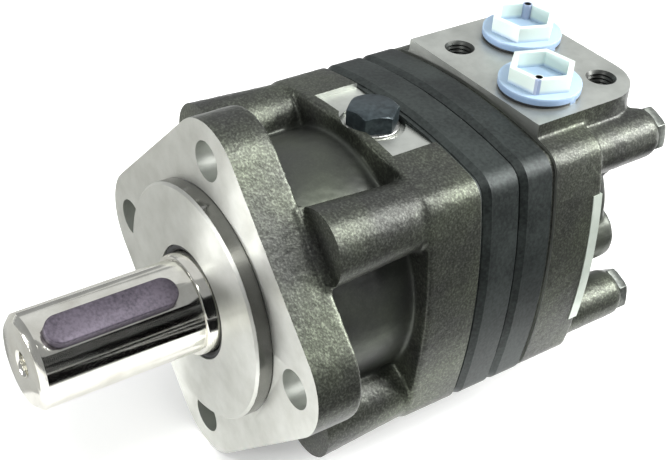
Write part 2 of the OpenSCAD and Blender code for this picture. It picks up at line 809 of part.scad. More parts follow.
module balance_spring() {
    t = disc_spring_t;
    inner = disc_spring_inner_r;
    outer = disc_spring_outer_r;
    color(turned_steel) axial(balance_y + balance_t + seat_gap) rotate_extrude() polygon([
        [inner, 0], [inner + 1, 0], [outer, spring_h - t - seat_gap * 2], [outer, spring_h - seat_gap * 2],
        [outer - 1, spring_h - seat_gap * 2], [inner, t]]);
}

module balance_pins() {
    color(turned_steel) axial(balance_y + balance_t - pin_seat) at_pins() cylinder(r = pin_r, h = pin_l);
}

// Rear housing with the port block, the screw bosses and the valve chamber
module rear_boss(length) {
    round_r = 2.5;
    rotate_extrude() union() {
        square([boss_r, length - round_r]);
        square([boss_r - round_r, length]);
        translate([boss_r - round_r, length - round_r]) circle(r = round_r);
    }
}

module rear_body() {
    round_r = 3;
    length = body_end - seam_3;
    rotate_extrude() union() {
        square([rear_body_r, length - round_r]);
        square([rear_body_r - round_r, length]);
        translate([rear_body_r - round_r, length - round_r]) circle(r = round_r);
    }
}

module check_boss(side) {
    round_r = 2;
    length = check_boss_end - seam_3;
    translate([side * check_x, -check_z, 0]) rotate_extrude() union() {
        square([check_boss_r, length - round_r]);
        square([check_boss_r - round_r, length]);
        translate([check_boss_r - round_r, length - round_r]) circle(r = round_r);
    }
}

module port_block() {
    foot_z = 20;
    x = port_block_w / 2;
    translate([0, port_block_y, foot_z]) linear_extrude(port_face_z - foot_z) polygon(concat(
        [[-x, 0], [x, 0]],
        arc([x - port_corner_r, port_block_l - port_corner_r], port_corner_r, 0, 90, 10),
        arc([port_corner_r - x, port_block_l - port_corner_r], port_corner_r, 90, 180, 10)));
}

module port_cuts(place) {
    translate([place[0], place[1], port_face_z - port_depth]) cylinder(d = port_d, h = port_depth + 1);
}

module check_cuts(side) {
    translate([side * check_x, -check_z, 0]) {
        translate([0, 0, chamber_floor - seam_3 - 1]) cylinder(r = check_seat_r, h = check_seat_l + 2);
        translate([0, 0, check_seat_y - seam_3]) cylinder(r = check_bore_r, h = 60);
    }
}

// The plate of the rear housing, with a smooth band set in a little along its rear edge
module rear_plate() {
    band = 4.2;
    band_inset = 0.5;
    linear_extrude(rear_plate_t - band) polygon(plate_outline());
    linear_extrude(rear_plate_t) polygon(plate_outline(band_inset));
}

module valve_housing() {
    manifold_r = manifold_d / 2;
    color(cast_iron) difference() {
        union() {
            axial(seam_3) {
                linear_extrude(last_step + 1) polygon(plate_outline(seam_inset));
                translate([0, 0, last_step]) rear_plate();
                at_screws() rear_boss(rear_len);
                rear_body();
                check_boss(1);
                check_boss(-1);
            }
            port_block();
        }
        axial(seam_3 - 1) cylinder(r = disc_chamber_r, h = balance_y - seam_3 + 1);
        axial(seam_3) cylinder(r = balance_bore_r, h = chamber_floor - seam_3);
        axial(chamber_floor - 1) at_pins() cylinder(r = pin_r + 0.05, h = pin_l - pin_seat - spring_h + 1.5);
        axial(seam_3) {
            face_groove();
            screw_holes(rear_len);
            check_cuts(1);
            check_cuts(-1);
        }
        port_cuts(port_front);
        port_cuts(port_rear);
        drilling([port_front[0], port_front[1] - 2, port_face_z - port_depth + 2],
            [port_front[0] - 2, disc_y + disc_t / 2, disc_chamber_r - 7], passage_r);
        drilling([port_rear[0], port_rear[1], port_face_z - port_depth + 2],
            [port_rear[0] / 2, chamber_floor - 2, balance_bore_r / 3], passage_r);
        for (s = [-1, 1])
            translate([s * manifold_across / 2, port_middle_y + s * manifold_along / 2,
                port_face_z - manifold_depth]) cylinder(r = manifold_r, h = manifold_depth + 1);
    }
}

// Check valves
module check_ball(side) {
    color(bearing_steel) axial(check_ball_y)
        translate([side * check_x, -check_z, 0]) sphere(r = check_ball_r);
}

// Points of a round wire wound into a spring
function coil_ring(i, steps, r, pitch, wire, sides) =
    let (a = i * 360 / steps)
    [for (k = [0:sides - 1])
        let (b = k * 360 / sides, d = r + wire * cos(b))
        [d * cos(a), d * sin(a), pitch * i / steps + wire * sin(b)]];

module coil_spring(r, wire, turns, pitch) {
    steps = 12;
    sides = 6;
    count = steps * turns;
    points = [for (i = [0:count]) each coil_ring(i, steps, r, pitch, wire, sides)];
    walls = [for (i = [0:count - 1], k = [0:sides - 1])
        let (a = i * sides + k, b = i * sides + (k + 1) % sides)
        [a, a + sides, b + sides, b]];
    front = [for (k = [0:sides - 1]) k];
    back = [for (k = [sides - 1:-1:0]) count * sides + k];
    polyhedron(points, concat(walls, [front, back]));
}

module check_springs() {
    turns = 4;
    color(turned_steel) axial(check_spring_y + check_wire_r)
        for (s = [-1, 1]) translate([s * check_x, -check_z, 0])
            coil_spring(check_spring_r, check_wire_r, turns, (check_spring_l - 2 * check_wire_r) / turns);
}

module check_plugs() {
    socket_depth = check_plug_l / 2;
    color(turned_steel) axial(check_plug_y)
        for (s = [-1, 1]) translate([s * check_x, -check_z, 0]) difference() {
            cylinder(r = check_bore_r - seat_gap, h = check_plug_l);
            translate([0, 0, socket_depth]) cylinder(r = check_bore_r * 0.57, h = check_plug_l, $fn = 6);
        }
}

// Fasteners. A hexagon head with its corners turned off at the top
module hex_head(af, h, turn, bevel_r, bevel_h) {
    corner_r = af / 2 / cos(30);
    drop = bevel_h * (1 + 1 / bevel_r);
    intersection() {
        rotate([0, 0, turn]) cylinder(r = corner_r, h = h + 1, $fn = 6);
        rotate_extrude() polygon([[0, -1], [corner_r + 1, -1], [corner_r + 1, h - drop],
            [corner_r - bevel_r, h], [0, h]]);
    }
}

module body_screws() {
    color(dark_steel) axial(seam_1 - screw_grip) at_screws() {
        cylinder(r = screw_r, h = screw_len + 1);
        translate([0, 0, screw_len]) hex_head(screw_af, screw_head_h, screw_turn, 1, 0.5);
    }
}

module drain_plug() {
    shank = spot_z + drain_washer_t - drain_hole_z - 0.5;
    color(plug_black) translate([0, drain_y, spot_z + drain_washer_t]) {
        hex_head(drain_af, drain_head_h, drain_turn, 1.4, 0.9);
        translate([0, 0, -shank]) cylinder(r = drain_thread_r, h = shank + 1);
    }
}

module drain_washer() {
    color(turned_steel) translate([0, drain_y, spot_z]) difference() {
        cylinder(r = drain_washer_r, h = drain_washer_t);
        translate([0, 0, -1]) cylinder(r = drain_thread_r + 0.1, h = drain_washer_t + 2);
    }
}

// Shipping caps in the two ports
module at_vent(vent_turn) {
    vent_x = cap_af / 2 / cos(30) - cap_wall / cos(30) - vent_wall;
    rotate([0, 0, cap_turn + vent_turn]) translate([vent_x, 0, 0]) children();
}

// The hollow of the hexagon leaves a round pillar in one corner for the vent
module cap_hollow(vent_turn) {
    difference() {
        rotate([0, 0, cap_turn]) cylinder(r = (cap_af / 2 - cap_wall) / cos(30), h = cap_hex_h + 1, $fn = 6);
        at_vent(vent_turn) translate([0, 0, -1]) cylinder(r = vent_r + vent_wall, h = cap_hex_h + 3);
    }
}

// The tab at the rim reaches down past the rubber ring
module cap_tab(h, extra = 0) {
    r = cap_flange_d / 2 - 0.2;
    rotate([0, 0, tab_turn]) translate([r - tab_depth - extra, -tab_w / 2 - extra, 0])
        cube([tab_depth + 2 * extra, tab_w + 2 * extra, h]);
}

module port_cap(place, vent_turn) {
    corner_r = cap_af / 2 / cos(30);
    hex_z = cap_ring_t + cap_flange_t;
    color(cap_plastic) translate([place[0], place[1], port_face_z]) difference() {
        union() {
            translate([0, 0, cap_ring_t]) cylinder(d = cap_flange_d, h = cap_flange_t);
            translate([0, 0, seat_gap]) cap_tab(cap_ring_t + 1);
            translate([0, 0, hex_z - 0.5]) rotate([0, 0, cap_turn])
                cylinder(r = corner_r, h = cap_hex_h + 0.5, $fn = 6);
            translate([0, 0, -cap_plug_l]) cylinder(r = cap_thread_r, h = cap_plug_l + cap_ring_t + 1);
        }
        translate([0, 0, hex_z]) cap_hollow(vent_turn);
        translate([0, 0, hex_z - 0.3]) at_vent(vent_turn) cylinder(r = vent_r, h = cap_hex_h + 1);
        translate([0, 0, -cap_plug_l - 1]) cylinder(r = cap_thread_r - cap_wall, h = cap_plug_l + 1);
    }
}

module cap_ring(place) {
    color(seal_rubber) translate([place[0], place[1], port_face_z]) difference() {
        cylinder(d = cap_flange_d - 0.4, h = cap_ring_t);
        translate([0, 0, -1]) cylinder(r = cap_thread_r + 0.05, h = cap_ring_t + 2);
        translate([0, 0, -1]) cap_tab(cap_ring_t + 2, 0.1);
    }
}

front_housing();
dust_seal();
shaft_seal();
output_shaft();
shaft_key();
front_bearing_cup();
front_bearing_cone();
front_bearing_rollers();
front_bearing_cage();
rear_bearing_cup();
rear_bearing_cone();
rear_bearing_rollers();
rear_bearing_cage();
wear_plate();
cardan_shaft();
face_ring(seam_1 - groove_depth / 2);  // housing_o_ring
gear_ring();
gear_rotor();
drive_spacer();
ring_roller(1);  // ring_roller_1
ring_roller(2);  // ring_roller_2
ring_roller(3);  // ring_roller_3
ring_roller(4);  // ring_roller_4
ring_roller(5);  // ring_roller_5
ring_roller(6);  // ring_roller_6
ring_roller(7);  // ring_roller_7
face_ring(seam_2 + groove_depth / 2);  // ring_o_ring
channel_plate();
face_ring(seam_3 + groove_depth / 2);  // plate_o_ring
valve_drive();
disc_valve();
balance_plate();
balance_o_ring();
balance_spring();
balance_pins();
valve_housing();
check_ball(-1);  // check_ball_left
check_ball(1);  // check_ball_right
check_springs();
check_plugs();
body_screws();
drain_plug();
drain_washer();
port_cap(port_front, vent_front);  // port_cap_front
port_cap(port_rear, vent_rear);  // port_cap_rear
cap_ring(port_front);  // cap_ring_front
cap_ring(port_rear);  // cap_ring_rear
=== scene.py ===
# %% [markdown]
# # An orbital hydraulic motor
# A low-speed motor for farm and building machines. Two iron castings hold a dark plate stack between them, a
# keyed steel shaft comes out of a square flange, and two white caps close the oil ports.
# The engineering model is loaded first and fixes every size. It could be shown as it is, but sharp edges and
# one flat colour would look like plastic, so this lesson gives each piece its real surface.

import math

import bpy
from mathutils import Matrix, Vector


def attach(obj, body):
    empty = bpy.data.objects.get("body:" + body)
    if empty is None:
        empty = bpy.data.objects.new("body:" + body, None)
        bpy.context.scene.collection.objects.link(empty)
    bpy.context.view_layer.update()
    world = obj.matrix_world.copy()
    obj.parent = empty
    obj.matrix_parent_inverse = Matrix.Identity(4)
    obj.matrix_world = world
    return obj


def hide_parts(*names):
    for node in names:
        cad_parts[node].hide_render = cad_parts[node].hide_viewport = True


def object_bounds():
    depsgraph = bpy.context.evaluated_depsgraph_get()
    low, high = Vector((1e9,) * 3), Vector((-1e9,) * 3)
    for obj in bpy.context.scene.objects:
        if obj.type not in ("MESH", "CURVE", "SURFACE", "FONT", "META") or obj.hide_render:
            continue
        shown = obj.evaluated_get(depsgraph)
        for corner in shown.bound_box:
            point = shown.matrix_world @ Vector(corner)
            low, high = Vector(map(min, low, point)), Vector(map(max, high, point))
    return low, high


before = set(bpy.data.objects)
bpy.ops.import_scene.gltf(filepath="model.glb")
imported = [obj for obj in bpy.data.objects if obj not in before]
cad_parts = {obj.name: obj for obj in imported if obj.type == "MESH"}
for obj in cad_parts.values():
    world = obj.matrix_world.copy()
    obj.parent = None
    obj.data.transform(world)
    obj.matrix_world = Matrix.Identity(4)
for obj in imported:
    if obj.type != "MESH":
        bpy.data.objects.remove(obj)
cad_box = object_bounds()

# %% [markdown]
# ## The camera
# The motor is seen from the front right and from above, through a long lens that hardly bends its lines.
# A camera can be aimed with a constraint, but here it is given as three directions: back towards the camera,
# right and up. A small roll tips the picture a little, as a hand-held camera would.

# %% Camera
MM = 0.001
azimuth, elevation, roll = (math.radians(a) for a in (53.719, 36.476, 3.495))
flat = math.cos(elevation)
back = Vector((math.sin(azimuth) * flat, -math.cos(azimuth) * flat, math.sin(elevation)))
level = Vector((math.cos(azimuth), math.sin(azimuth), 0))
upright = back.cross(level)
right = level * math.cos(roll) + upright * math.sin(roll)
up = upright * math.cos(roll) - level * math.sin(roll)
camera = bpy.data.objects.new("camera", bpy.data.cameras.new("camera"))
camera.matrix_world = Matrix((right, up, back)).transposed().to_4x4()
camera.location = Vector((294.6, -171.0, 270.4)) * MM
camera.data.lens = 70.08
camera.data.shift_x, camera.data.shift_y = 0.0230, 0.0373
camera.data.clip_start, camera.data.clip_end = 0.01, 20
bpy.context.scene.collection.objects.link(camera)
bpy.context.scene.camera = camera
print("camera at", [round(c, 3) for c in camera.location])

# %% [markdown]
# ## Building materials
# Every finish below is a node tree. One helper adds any node with its settings and its links, and another starts
# a material from its shader values. Colours are picked as on a screen, so they are turned to linear light.
# Patterns are placed in object space, which is in metres: a grain of 1 mm has a scale of 1000.

# %% Material helpers
def colour(code):
    """A hex colour such as 8A8F88 as linear red, green, blue and alpha."""
    parts = [int(code[i:i + 2], 16) / 255 for i in (0, 2, 4)]
    return [p / 12.92 if p <= 0.04045 else ((p + 0.055) / 1.055) ** 2.4 for p in parts] + [1]


def add(tree, kind, links={}, **settings):
    """Adds a node. links gives each input, by name or number, a value or the output that feeds it."""
    made = tree.nodes.new(kind)
    for key, value in settings.items():
        setattr(made, key, value)
    for key, value in links.items():
        if isinstance(value, bpy.types.NodeSocket):
            tree.links.new(value, made.inputs[key])
        else:
            made.inputs[key].default_value = value
    return made


def begin(name, **values):
    """A new material: itself, its tree, its shader and the place of each point for patterns."""
    finish = bpy.data.materials.new(name)
    finish.use_nodes = True
    tree = finish.node_tree
    shader = tree.nodes["Principled BSDF"]
    for key, value in values.items():
        shader.inputs[key.replace("_", " ")].default_value = value
    return finish, tree, shader, add(tree, "ShaderNodeTexCoord").outputs["Object"]


def join_up(tree, shader, **outputs):
    """Links outputs to the shader's sockets."""
    for key, output in outputs.items():
        tree.links.new(output, shader.inputs[key.replace("_", " ")])


def set_stops(node, *stops):
    """Gives a colour ramp its stops, a place from 0 to 1 and a hex colour each, and returns its colour."""
    band = node.color_ramp
    while len(band.elements) < len(stops):
        band.elements.new(0.5)
    for element, (at, code) in zip(band.elements, stops):
        element.position, element.color = at, colour(code)
    return node.outputs[0]


# %% [markdown]
# ## Cast iron skin
# Both housings are grey iron, cast in sand and then oiled. The sand leaves grains of about a millimetre that
# glint on their tips and stay dark between, over wide cloudy patches. The barrel is smoother, so near the shaft
# axis the grains fade in colour and depth. A photograph of iron could be wrapped round the piece, but two
# layers of noise follow every corner and need no unwrapping.

# %% Cast iron
cast_iron, tree, shader, place = begin("cast_iron_oiled", Metallic=0.7, Roughness=0.4)
grain = add(tree, "ShaderNodeTexNoise", {"Vector": place, "Scale": 1 / (0.8 * MM), "Detail": 3,
                                         "Roughness": 0.55}).outputs[0]
patches = add(tree, "ShaderNodeTexNoise", {"Vector": place, "Scale": 1 / (26 * MM), "Detail": 3}).outputs[0]
tips = set_stops(add(tree, "ShaderNodeValToRGB", {0: grain}), (0.34, "484943"), (0.52, "595C54"), (0.68, "767A6F"))
clouds = set_stops(add(tree, "ShaderNodeValToRGB", {0: patches}), (0.35, "BDBBC2"), (0.65, "E6EAE0"))
flat = add(tree, "ShaderNodeVectorMath", {0: place, 1: (1, 0, 1)}, operation="MULTIPLY").outputs[0]
from_axis = add(tree, "ShaderNodeVectorMath", {0: flat}, operation="LENGTH").outputs["Value"]
barrel_ends, sand_starts, left_on_barrel = 45.2 * MM, 47 * MM, 0.15
sandy = add(tree, "ShaderNodeMapRange", {0: from_axis, 1: barrel_ends, 2: sand_starts,
                                         3: left_on_barrel, 4: 1.0}).outputs[0]
mottle = add(tree, "ShaderNodeMix", {0: sandy, 6: colour("575A54"), 7: tips}, data_type="RGBA").outputs[2]
skin = add(tree, "ShaderNodeMix", {0: 1.0, 6: mottle, 7: clouds}, data_type="RGBA",
           blend_type="MULTIPLY").outputs[2]
depth = add(tree, "ShaderNodeMath", {0: sandy, 1: 0.28}, operation="MULTIPLY").outputs[0]
bump = add(tree, "ShaderNodeBump", {"Height": grain, "Strength": depth, "Distance": 0.3 * MM}).outputs[0]
join_up(tree, shader, Base_Color=skin, Normal=bump)
print(cast_iron.name, "has", len(tree.nodes), "nodes")

# %% Cast edge left smooth
smooth_iron, tree, shader, place = begin("cast_iron_smooth", Metallic=0.6, Roughness=0.35)
film = add(tree, "ShaderNodeTexNoise", {"Vector": place, "Scale": 1 / (9 * MM), "Detail": 3}).outputs[0]
tone = set_stops(add(tree, "ShaderNodeValToRGB", {0: film}), (0.3, "BFC9BE"), (0.7, "D6DFD4"))
bump = add(tree, "ShaderNodeBump", {"Height": film, "Strength": 0.1, "Distance": 0.3 * MM}).outputs[0]
join_up(tree, shader, Base_Color=tone, Normal=bump)
print(smooth_iron.name, "has", len(tree.nodes), "nodes")

# %% [markdown]
# ## Milled and turned faces
# Where the castings meet other parts they are machined: the flange face and its pilot on a lathe, the port
# face and the drain pad under a mill. Fresh cut iron is pale. The lathe leaves rings, and rings throw light
# across themselves, so the turned face has one bright sector. Plain roughness would make it evenly pale.
# The threaded bores are darkened as painted shade, and the side of the pilot as a painted dark reflection.

# %% Machined iron
def cut_iron(name, low, middle, high, dull, shine, **values):
    """Fresh cut iron: three close tones, and the roughness of its stained and of its clean patches."""
    finish, tree, shader, place = begin(name, **values)
    stain = add(tree, "ShaderNodeTexNoise", {"Vector": place, "Scale": 1 / (14 * MM), "Detail": 5,
                                             "Roughness": 0.65}).outputs[0]
    tone = set_stops(add(tree, "ShaderNodeValToRGB", {0: stain}), (0.3, low), (0.5, middle), (0.75, high))
    blur = add(tree, "ShaderNodeMapRange", {0: stain, 3: shine, 4: dull}).outputs[0]
    along, across = 1 / (8 * MM), 1 / (0.5 * MM)
    marks = add(tree, "ShaderNodeMapping", {0: place, "Scale": (along, along, across)}).outputs[0]
    feed = add(tree, "ShaderNodeTexNoise", {"Vector": marks, "Scale": 1.0, "Detail": 3}).outputs[0]
    bump = add(tree, "ShaderNodeBump", {"Height": feed, "Strength": 0.1, "Distance": 0.1 * MM}).outputs[0]
    join_up(tree, shader, Base_Color=tone, Roughness=blur, Normal=bump)
    return finish, tree, shader


machined_iron = cut_iron("cast_iron_milled", "ACAFA9", "BABDB7", "C8CBC5", 0.46, 0.34, Metallic=0.85)[0]
# Painted shade: the threaded bores get dark tones that stand in for the shade inside the holes.
bore_iron_painted_dark = cut_iron("cast_iron_bored_painted_shade", "3A3B39", "4A4C49", "5C5E5A", 0.5, 0.35, Metallic=0.8)[0]
# Painted reflection: the pilot's side gets darker tones that stand in for the dark band it reflects.
pilot_iron_painted_dark = cut_iron("cast_iron_pilot_painted_dark", "6E6E6A", "7C7C78", "8A8A86", 0.26, 0.18, Metallic=0.85)[0]
turned_iron, tree, shader = cut_iron("cast_iron_turned", "B4B5AE", "C2C3BD", "CFD0CB", 0.42, 0.32, Metallic=0.92,
                                     Anisotropic=0.75, Anisotropic_Rotation=0.25)
round_axis = add(tree, "ShaderNodeTangent", direction_type="RADIAL", axis="Y").outputs[0]
join_up(tree, shader, Tangent=round_axis)
print(machined_iron.name, bore_iron_painted_dark.name, pilot_iron_painted_dark.name, turned_iron.name)

# %% [markdown]
# ## Turned and ground shaft steel
# The shaft is ground bright, so it mirrors the room in long bands. Only the faint rings of the grinding wheel,
# square to the axis, blur it. A wave along Y gives those rings, drawn at 0.6 mm so that they show at all.

# %% Ground steel
ground_steel, tree, shader, place = begin("shaft_steel_ground", Metallic=1.0)
wave_step_at_scale_one, ring_step = 0.3, 0.6 * MM
rings = add(tree, "ShaderNodeTexWave", {"Vector": place, "Scale": wave_step_at_scale_one / ring_step,
                                        "Distortion": 0.6, "Detail": 2}, bands_direction="Y").outputs[0]
cloud = add(tree, "ShaderNodeTexNoise", {"Vector": place, "Scale": 1 / (9 * MM), "Detail": 4}).outputs[0]
tone = set_stops(add(tree, "ShaderNodeValToRGB", {0: cloud}), (0.3, "CBC9C0"), (0.7, "E3E2DA"))
blur = add(tree, "ShaderNodeMapRange", {0: cloud, 3: 0.09, 4: 0.17}).outputs[0]
bump = add(tree, "ShaderNodeBump", {"Height": rings, "Strength": 0.06, "Distance": 0.05 * MM}).outputs[0]
join_up(tree, shader, Base_Color=tone, Roughness=blur, Normal=bump)
print(ground_steel.name, "has", len(tree.nodes), "nodes")

# %% [markdown]
# ## Dark steels
# The plate stack is phosphated steel, a dull green-grey coat. The key is scaled bar stock, purple-grey with
# pale specks. The drain plug is blackened, and the long screws are only oiled. All four are one recipe with
# other colours: a fine grain for the coat and a slow cloud for the way oil lies on it.

# %% Dark steels
def dark_steel(name, deep, pale, grain_mm, roughness, metallic, depth):
    """A coated steel: deep and pale colours, grain size and bump depth in mm."""
    finish, tree, shader, place = begin(name, Metallic=metallic)
    grain = add(tree, "ShaderNodeTexNoise", {"Vector": place, "Scale": 1 / (grain_mm * MM), "Detail": 3}).outputs[0]
    oil = add(tree, "ShaderNodeTexNoise", {"Vector": place, "Scale": 1 / (18 * MM), "Detail": 2}).outputs[0]
    both = add(tree, "ShaderNodeMix", {0: 0.5, 2: grain, 3: oil}).outputs[0]
    tone = set_stops(add(tree, "ShaderNodeValToRGB", {0: both}), (0.38, deep), (0.62, pale))
    sheen = add(tree, "ShaderNodeMapRange", {0: oil, 3: roughness - 0.06, 4: roughness + 0.08}).outputs[0]
    bump = add(tree, "ShaderNodeBump", {"Height": grain, "Strength": 0.3, "Distance": depth * MM}).outputs[0]
    join_up(tree, shader, Base_Color=tone, Roughness=sheen, Normal=bump)
    return finish


phosphated = dark_steel("plate_steel_phosphated", "1F2423", "363C3A", 1.2, 0.45, 0.5, 0.15)
bar_stock = dark_steel("key_steel_scaled", "39343D", "5E5762", 1.0, 0.5, 0.5, 0.2)
blackened = dark_steel("plug_steel_blackened", "2C3437", "465054", 1.5, 0.32, 0.6, 0.08)
screw_steel = dark_steel("screw_steel_oiled", "4C4F4C", "777B75", 1.2, 0.38, 0.7, 0.1)
print("dark steels:", phosphated.name, bar_stock.name, blackened.name, screw_steel.name)

# %% [markdown]
# ## Inside steels, brass and rubber
# What no eye sees at rest still shows in a cut-away: polished bearing steel, brass cages, an aluminium washer
# and nitrile rubber seals. They are short recipes, but each has its own grain and shine.

# %% Bright metals
def bright_metal(name, low, high, roughness, grain_mm):
    """A clean metal: two close tones in a slow cloud and a fine polish grain."""
    finish, tree, shader, place = begin(name, Metallic=1.0)
    cloud = add(tree, "ShaderNodeTexNoise", {"Vector": place, "Scale": 1 / (12 * MM), "Detail": 4}).outputs[0]
    tone = set_stops(add(tree, "ShaderNodeValToRGB", {0: cloud}), (0.3, low), (0.7, high))
    grain = 1 / (grain_mm * MM)
    polish = add(tree, "ShaderNodeTexNoise", {"Vector": place, "Scale": grain, "Detail": 2}).outputs[0]
    blur = add(tree, "ShaderNodeMapRange", {0: polish, 3: roughness - 0.05, 4: roughness + 0.08}).outputs[0]
    bump = add(tree, "ShaderNodeBump", {"Height": polish, "Strength": 0.1, "Distance": 0.05 * MM}).outputs[0]
    join_up(tree, shader, Base_Color=tone, Roughness=blur, Normal=bump)
    return finish


bearing_steel = bright_metal("bearing_steel_polished", "C4C6C6", "D6D8D8", 0.15, 0.6)
cage_brass = bright_metal("cage_brass_pressed", "B08D4A", "C6A564", 0.3, 0.8)
washer_metal = bright_metal("washer_aluminium", "C9CAC6", "E2E2DD", 0.28, 0.8)
turned_steel = bright_metal("inner_steel_turned", "A9AAA8", "BFC0BD", 0.3, 0.8)
print("bright metals:", bearing_steel.name, cage_brass.name, washer_metal.name, turned_steel.name)

# %% Nitrile rubber
rubber, tree, shader, place = begin("seal_rubber_nitrile", Roughness=0.5)
pores = add(tree, "ShaderNodeTexNoise", {"Vector": place, "Scale": 1 / (0.8 * MM), "Detail": 3}).outputs[0]
tone = set_stops(add(tree, "ShaderNodeValToRGB", {0: pores}), (0.3, "08090B"), (0.7, "191B1F"))
bump = add(tree, "ShaderNodeBump", {"Height": pores, "Strength": 0.15, "Distance": 0.1 * MM}).outputs[0]
join_up(tree, shader, Base_Color=tone, Normal=bump)
print(rubber.name, "has", len(tree.nodes), "nodes")

# %% [markdown]
# ## Cap plastic
# The shipping caps are moulded from soft polyethylene. Light goes into the thin walls and comes out again, so
# they look milky, mint white on top and bluish where the flange lies over its black ring. Subsurface
# scattering gives that glow. The blue is painted by height, because the ring below it would be costly to trace.

# %% Polyethylene
cap_plastic, tree, shader, place = begin("cap_polyethylene_moulded", Roughness=0.38, Subsurface_Weight=0.35,
                                         Subsurface_Scale=1.5 * MM)
shader.inputs["Subsurface Radius"].default_value = (1.0, 1.0, 1.1)
height = add(tree, "ShaderNodeSeparateXYZ", {0: place}).outputs[2]
flange_foot, flange_top, mint_from = 55.6 * MM, 56.6 * MM, 58 * MM
rise = add(tree, "ShaderNodeMapRange", {0: height, 1: flange_foot, 2: mint_from}).outputs[0]
tone = set_stops(add(tree, "ShaderNodeValToRGB", {0: rise}), (0.0, "8AA2C0"), (0.45, "A6BDD2"), (1.0, "D2DFD8"))
ripple = add(tree, "ShaderNodeTexNoise", {"Vector": place, "Scale": 1 / (5 * MM), "Detail": 2}).outputs[0]
bump = add(tree, "ShaderNodeBump", {"Height": ripple, "Strength": 0.2, "Distance": 0.2 * MM}).outputs[0]
print("caps turn from blue to mint over", round((mint_from - flange_foot) / MM, 1), "mm of height")

# %% [markdown]
# ## Cap vents
# One corner of each cap has a vent. Its hole is dark with shade, and the air in it shows as a grey bar through the
# milky wall. To trace light through the wall would take many samples, so both are painted shade, as discs seen from
# above.

# %% Cap vents
from_above = add(tree, "ShaderNodeVectorMath", {0: place, 1: (1, 1, 0)}, operation="MULTIPLY").outputs[0]


def near(*spots):
    """1 within reach of any spot, else 0. Each spot is x, y and reach in mm."""
    found, edge = 0.0, 0.2
    for x, y, reach in spots:
        spot = (x * MM, y * MM, 0)
        away = add(tree, "ShaderNodeVectorMath", {0: from_above, 1: spot}, operation="DISTANCE").outputs["Value"]
        inside = add(tree, "ShaderNodeMapRange", {0: away, 1: reach * MM, 2: (reach + edge) * MM,
                                                  3: 1.0, 4: 0.0}).outputs[0]
        found = add(tree, "ShaderNodeMath", {0: found, 1: inside}, operation="MAXIMUM").outputs[0]
    return found


front_vent, front_bar, rear_vent = (22.26, 115.8), (23.95, 113.85), (-22.26, 150.2)
# Painted shade: a grey-blue bar where the vent's bore shows through the wall, above the flange.
painted_bar_shade = near((*front_bar, 1.1), (*rear_vent, 1.65))
above = add(tree, "ShaderNodeMapRange", {0: height, 1: flange_top, 2: flange_top + 0.2 * MM}).outputs[0]
shown = add(tree, "ShaderNodeMath", {0: painted_bar_shade, 1: above}, operation="MULTIPLY").outputs[0]
wall_with_painted_bar = add(tree, "ShaderNodeMix", {0: shown, 6: tone, 7: colour("93A0B8")}, data_type="RGBA").outputs[2]
# Painted shade: a near-black disc over each vent hole.
painted_hole_shade = near((*front_vent, 1.2), (*rear_vent, 1.2))
skin = add(tree, "ShaderNodeMix", {0: painted_hole_shade, 6: wall_with_painted_bar, 7: colour("050607")}, data_type="RGBA").outputs[2]
join_up(tree, shader, Base_Color=skin, Normal=bump)
print(cap_plastic.name, "has", len(tree.nodes), "nodes")

# %% [markdown]
# ## Shaping helpers
# The two castings are built again as a foundry and a machine shop would: rough shapes are run together into
# one skin with soft corners, and cutters then leave crisp faces and bores. These helpers add a box and a turned
# shape, and join or cut them. A turned shape starts as a disc that is extruded and scaled, ring by ring.

# %% Shaping helpers
def alone(piece=None):
    """Selects one piece, or nothing."""
    bpy.ops.object.select_all(action="DESELECT")
    if piece:
        piece.select_set(True)
    bpy.context.view_layer.objects.active = piece


def settle(name, finish):
    """Names the new piece, gives it its finish and moves its place into its mesh."""
    piece = bpy.context.object
    bpy.ops.object.transform_apply(location=True, rotation=True, scale=True)
    piece.name = name
    piece.data.materials.append(finish)
    return piece


def box(name, low, high, finish, turn=0):
    """A box between two corners in mm, turned about the shaft."""
    alone()
    middle = [(a + b) / 2 * MM for a, b in zip(low, high)]
    bpy.ops.mesh.primitive_cube_add(size=1, location=middle, rotation=(0, math.radians(turn), 0))
    bpy.context.object.scale = [(b - a) * MM for a, b in zip(low, high)]
    return settle(name, finish)


def turned(name, rings, finish, centre=(0, 0), upright=False, around=96):
    """A turned shape. rings gives a place along the axis and a radius each, in mm."""
    alone()
    x, other = centre
    spots = [Vector((x, other, along) if upright else (x, along, other)) * MM for along, radius in rings]
    bpy.ops.mesh.primitive_circle_add(vertices=around, radius=rings[0][1] * MM, fill_type="NGON",
                                      location=spots[0], rotation=(0 if upright else math.pi / 2, 0, 0))
    piece = settle(name, finish)
    bpy.ops.object.mode_set(mode="EDIT")
    bpy.ops.mesh.select_all(action="SELECT")
    for i in range(1, len(rings)):
        bpy.ops.mesh.extrude_region_move(TRANSFORM_OT_translate={"value": spots[i] - spots[i - 1]})
        size = rings[i][1] / rings[i - 1][1]
        bpy.ops.transform.resize(value=(size, size, 1) if upright else (size, 1, size), center_override=spots[i])
    bpy.ops.mesh.select_all(action="SELECT")
    bpy.ops.mesh.normals_make_consistent(inside=False)
    bpy.ops.object.mode_set(mode="OBJECT")
    return piece


def boolean(piece, other, how):
    """Adds the other piece to this one, cuts it out, or keeps what both share."""
    alone(piece)
    step = piece.modifiers.new("shape", "BOOLEAN")
    step.operation, step.solver, step.object = how, "MANIFOLD", other
    step.material_mode = "TRANSFER"
    bpy.ops.object.modifier_apply(modifier=step.name)
    bpy.data.objects.remove(other)
    return piece


# %% [markdown]
# ## The plate outline
# Every piece of the stack has the same outline: four sides that bulge gently and run into round corners. A
# curve could be drawn and extruded, but the real outline is easy to cut. A block is kept only where it lies in
# four very large discs, and then only in a square on its corner that has a small disc at each tip.

# %% Plate outline
SIDES = ((1, 0), (-1, 0), (0, 1), (0, -1))


